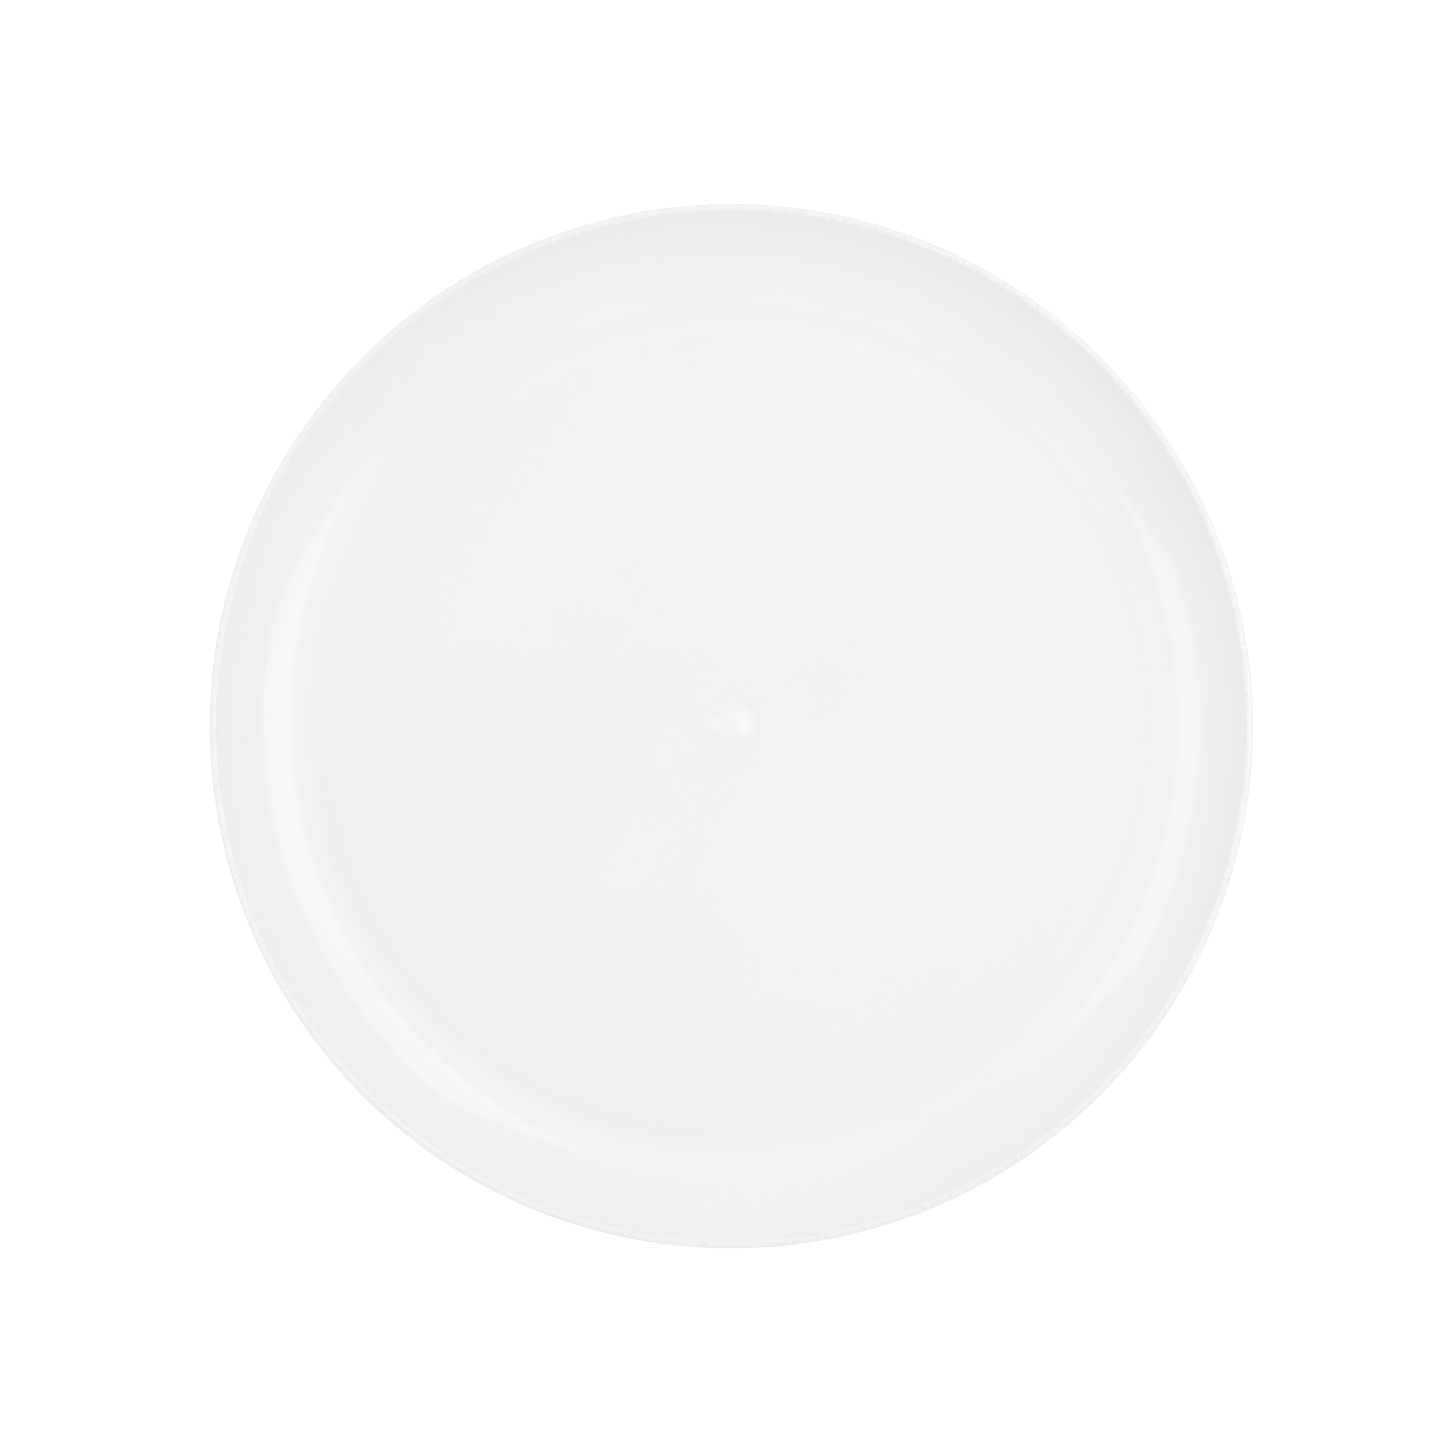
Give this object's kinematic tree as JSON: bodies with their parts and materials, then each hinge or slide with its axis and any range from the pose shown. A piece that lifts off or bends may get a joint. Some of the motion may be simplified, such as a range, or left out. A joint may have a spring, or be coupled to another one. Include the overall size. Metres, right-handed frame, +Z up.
{
  "type": "lazy susan turntable",
  "caption": "Round glossy white dish with a swept-up wall and a small centre dome, turning freely on a caged ball race over a low round base on rubber feet.",
  "frame": {"origin": "on the table, under the axis the dish turns about", "axes": "+Z up along the axis the dish turns about; +X and +Y level, with the feet at 45 degrees to them"},
  "size_m": [0.254, 0.254, 0.0343],
  "materials": {
    "dish_plastic": "glossy white moulded plastic",
    "base_plastic": "fine satin white moulded plastic",
    "cage_plastic": "natural unpigmented nylon",
    "bush_plastic": "natural acetal, smooth",
    "ball_steel": "polished hardened steel",
    "hardware_steel": "zinc plated",
    "foot_rubber": "matt light grey rubber"
  },
  "bodies": {
    "base_body": {"base": "base_plastic", "pivot_bush": "bush_plastic", "foot_1": "foot_rubber", "foot_2": "foot_rubber", "foot_3": "foot_rubber", "foot_4": "foot_rubber"},
    "tray_body": {"tray": "dish_plastic", "pivot_screw": "hardware_steel", "pivot_washer": "hardware_steel"},
    "cage_body": {"ball_cage": "cage_plastic"},
    "ball_01_body": {"ball_01": "ball_steel"},
    "ball_02_body": {"ball_02": "ball_steel"},
    "ball_03_body": {"ball_03": "ball_steel"},
    "ball_04_body": {"ball_04": "ball_steel"},
    "ball_05_body": {"ball_05": "ball_steel"},
    "ball_06_body": {"ball_06": "ball_steel"},
    "ball_07_body": {"ball_07": "ball_steel"},
    "ball_08_body": {"ball_08": "ball_steel"},
    "ball_09_body": {"ball_09": "ball_steel"},
    "ball_10_body": {"ball_10": "ball_steel"},
    "ball_11_body": {"ball_11": "ball_steel"},
    "ball_12_body": {"ball_12": "ball_steel"},
    "ball_13_body": {"ball_13": "ball_steel"},
    "ball_14_body": {"ball_14": "ball_steel"},
    "ball_15_body": {"ball_15": "ball_steel"},
    "ball_16_body": {"ball_16": "ball_steel"}
  },
  "joints": [
    {"name": "tray_spin", "type": "hinge", "parent": "base_body", "child": "tray_body", "pos_m": [0, 0, 0.01], "axis": [0, 0, 1], "continuous": true},
    {"name": "cage_orbit", "type": "hinge", "parent": "base_body", "child": "cage_body", "pos_m": [0, 0, 0.01443], "axis": [0, 0, 1], "continuous": true},
    {"name": "ball_01_roll", "type": "hinge", "parent": "cage_body", "child": "ball_01_body", "pos_m": [0.072, 0, 0.01443], "axis": [1, 0, 0], "continuous": true},
    {"name": "ball_02_roll", "type": "hinge", "parent": "cage_body", "child": "ball_02_body", "pos_m": [0.06652, 0.02755, 0.01443], "axis": [0.9239, 0.3827, 0], "continuous": true},
    {"name": "ball_03_roll", "type": "hinge", "parent": "cage_body", "child": "ball_03_body", "pos_m": [0.05091, 0.05091, 0.01443], "axis": [0.7071, 0.7071, 0], "continuous": true},
    {"name": "ball_04_roll", "type": "hinge", "parent": "cage_body", "child": "ball_04_body", "pos_m": [0.02755, 0.06652, 0.01443], "axis": [0.3827, 0.9239, 0], "continuous": true},
    {"name": "ball_05_roll", "type": "hinge", "parent": "cage_body", "child": "ball_05_body", "pos_m": [0, 0.072, 0.01443], "axis": [0, 1, 0], "continuous": true},
    {"name": "ball_06_roll", "type": "hinge", "parent": "cage_body", "child": "ball_06_body", "pos_m": [-0.02755, 0.06652, 0.01443], "axis": [-0.3827, 0.9239, 0], "continuous": true},
    {"name": "ball_07_roll", "type": "hinge", "parent": "cage_body", "child": "ball_07_body", "pos_m": [-0.05091, 0.05091, 0.01443], "axis": [-0.7071, 0.7071, 0], "continuous": true},
    {"name": "ball_08_roll", "type": "hinge", "parent": "cage_body", "child": "ball_08_body", "pos_m": [-0.06652, 0.02755, 0.01443], "axis": [-0.9239, 0.3827, 0], "continuous": true},
    {"name": "ball_09_roll", "type": "hinge", "parent": "cage_body", "child": "ball_09_body", "pos_m": [-0.072, 0, 0.01443], "axis": [-1, 0, 0], "continuous": true},
    {"name": "ball_10_roll", "type": "hinge", "parent": "cage_body", "child": "ball_10_body", "pos_m": [-0.06652, -0.02755, 0.01443], "axis": [-0.9239, -0.3827, 0], "continuous": true},
    {"name": "ball_11_roll", "type": "hinge", "parent": "cage_body", "child": "ball_11_body", "pos_m": [-0.05091, -0.05091, 0.01443], "axis": [-0.7071, -0.7071, 0], "continuous": true},
    {"name": "ball_12_roll", "type": "hinge", "parent": "cage_body", "child": "ball_12_body", "pos_m": [-0.02755, -0.06652, 0.01443], "axis": [-0.3827, -0.9239, 0], "continuous": true},
    {"name": "ball_13_roll", "type": "hinge", "parent": "cage_body", "child": "ball_13_body", "pos_m": [0, -0.072, 0.01443], "axis": [0, -1, 0], "continuous": true},
    {"name": "ball_14_roll", "type": "hinge", "parent": "cage_body", "child": "ball_14_body", "pos_m": [0.02755, -0.06652, 0.01443], "axis": [0.3827, -0.9239, 0], "continuous": true},
    {"name": "ball_15_roll", "type": "hinge", "parent": "cage_body", "child": "ball_15_body", "pos_m": [0.05091, -0.05091, 0.01443], "axis": [0.7071, -0.7071, 0], "continuous": true},
    {"name": "ball_16_roll", "type": "hinge", "parent": "cage_body", "child": "ball_16_body", "pos_m": [0.06652, -0.02755, 0.01443], "axis": [0.9239, -0.3827, 0], "continuous": true}
  ],
  "couplings": [
    {"joint": "cage_orbit", "follows": "tray_spin", "ratio": 0.5},
    {"joint": "ball_01_roll", "follows": "tray_spin", "ratio": -11.339},
    {"joint": "ball_02_roll", "follows": "tray_spin", "ratio": -11.339},
    {"joint": "ball_03_roll", "follows": "tray_spin", "ratio": -11.339},
    {"joint": "ball_04_roll", "follows": "tray_spin", "ratio": -11.339},
    {"joint": "ball_05_roll", "follows": "tray_spin", "ratio": -11.339},
    {"joint": "ball_06_roll", "follows": "tray_spin", "ratio": -11.339},
    {"joint": "ball_07_roll", "follows": "tray_spin", "ratio": -11.339},
    {"joint": "ball_08_roll", "follows": "tray_spin", "ratio": -11.339},
    {"joint": "ball_09_roll", "follows": "tray_spin", "ratio": -11.339},
    {"joint": "ball_10_roll", "follows": "tray_spin", "ratio": -11.339},
    {"joint": "ball_11_roll", "follows": "tray_spin", "ratio": -11.339},
    {"joint": "ball_12_roll", "follows": "tray_spin", "ratio": -11.339},
    {"joint": "ball_13_roll", "follows": "tray_spin", "ratio": -11.339},
    {"joint": "ball_14_roll", "follows": "tray_spin", "ratio": -11.339},
    {"joint": "ball_15_roll", "follows": "tray_spin", "ratio": -11.339},
    {"joint": "ball_16_roll", "follows": "tray_spin", "ratio": -11.339}
  ]
}
